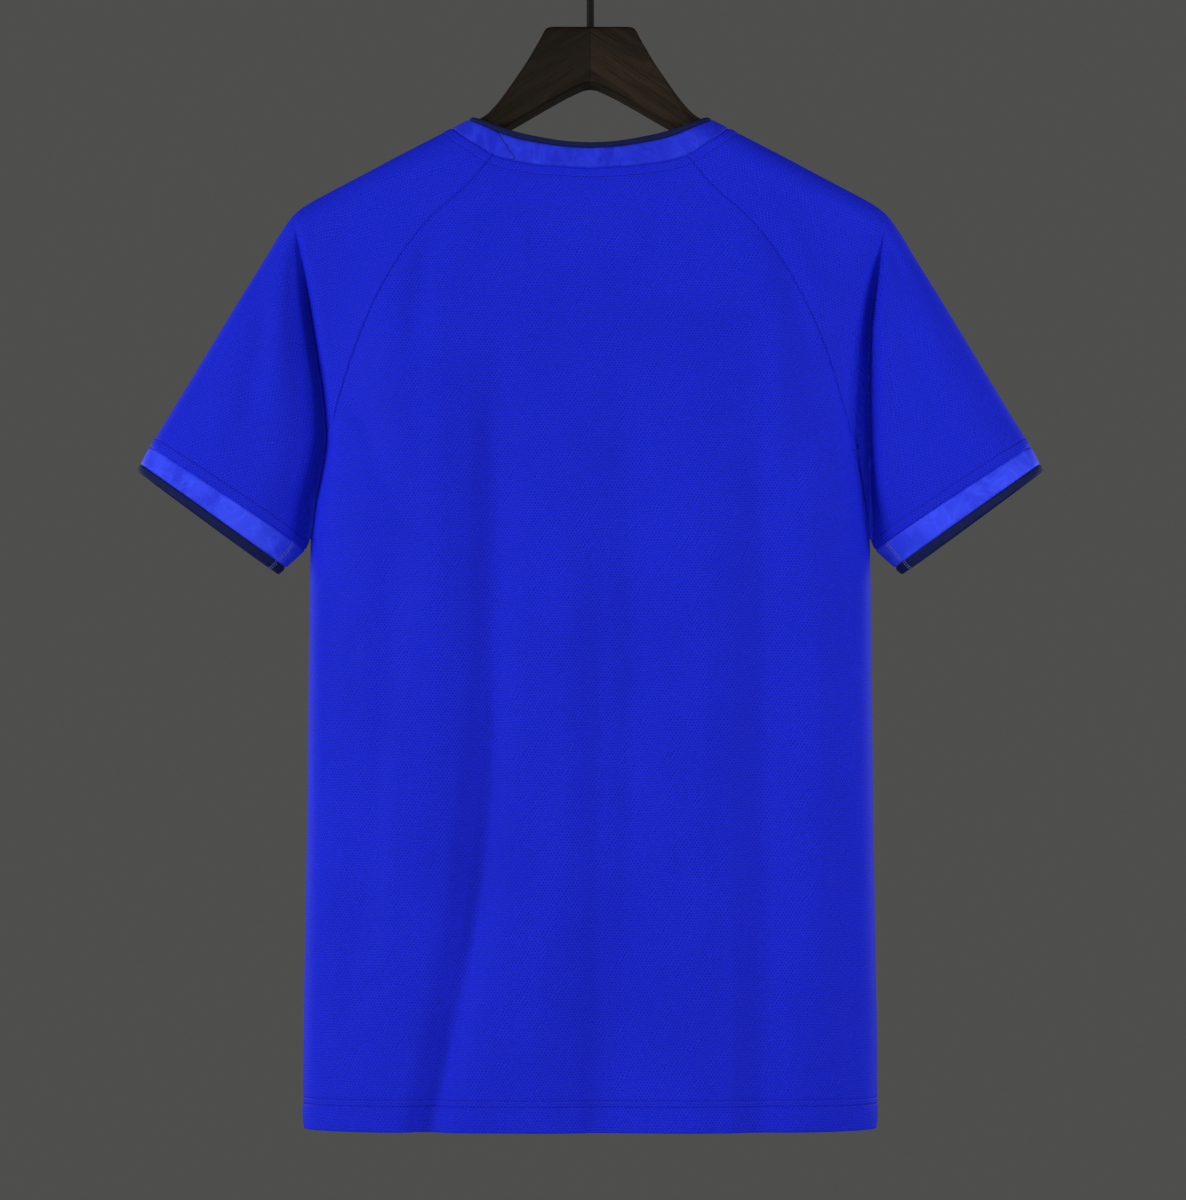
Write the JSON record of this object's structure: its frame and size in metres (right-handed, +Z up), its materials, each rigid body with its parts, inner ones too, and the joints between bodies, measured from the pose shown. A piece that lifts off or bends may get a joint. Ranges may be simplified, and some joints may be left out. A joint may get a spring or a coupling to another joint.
{
  "type": "football jersey on hanger",
  "caption": "Raglan short-sleeved football jersey with banded collar and cuffs, hung on a wooden hanger with a metal hook.",
  "frame": {"origin": "inside of the hook's top, where the rail carries the hanger", "axes": "+Z up, +Y out of the jersey's back, -Y out of its front, +X to the wearer's left"},
  "size_m": [0.6624, 0.119, 0.8921],
  "materials": {
    "royal_knit": "satin micro-mesh knit",
    "bright_knit": "smooth flat knit with faint tonal marbling",
    "navy_trim": "matte fine rib",
    "walnut": "satin lacquer over book-matched grain",
    "hook_steel": "dark satin metal"
  },
  "bodies": {
    "root": {"back_panel": "royal_knit", "front_panel": "royal_knit", "sleeve_left": "royal_knit", "sleeve_right": "royal_knit", "collar_band": "bright_knit", "collar_trim": "navy_trim", "cuff_band_left": "bright_knit", "cuff_band_right": "bright_knit", "cuff_trim_left": "navy_trim", "cuff_trim_right": "navy_trim", "hanger_wood": "walnut", "hanger_hook": "hook_steel"}
  },
  "joints": []
}
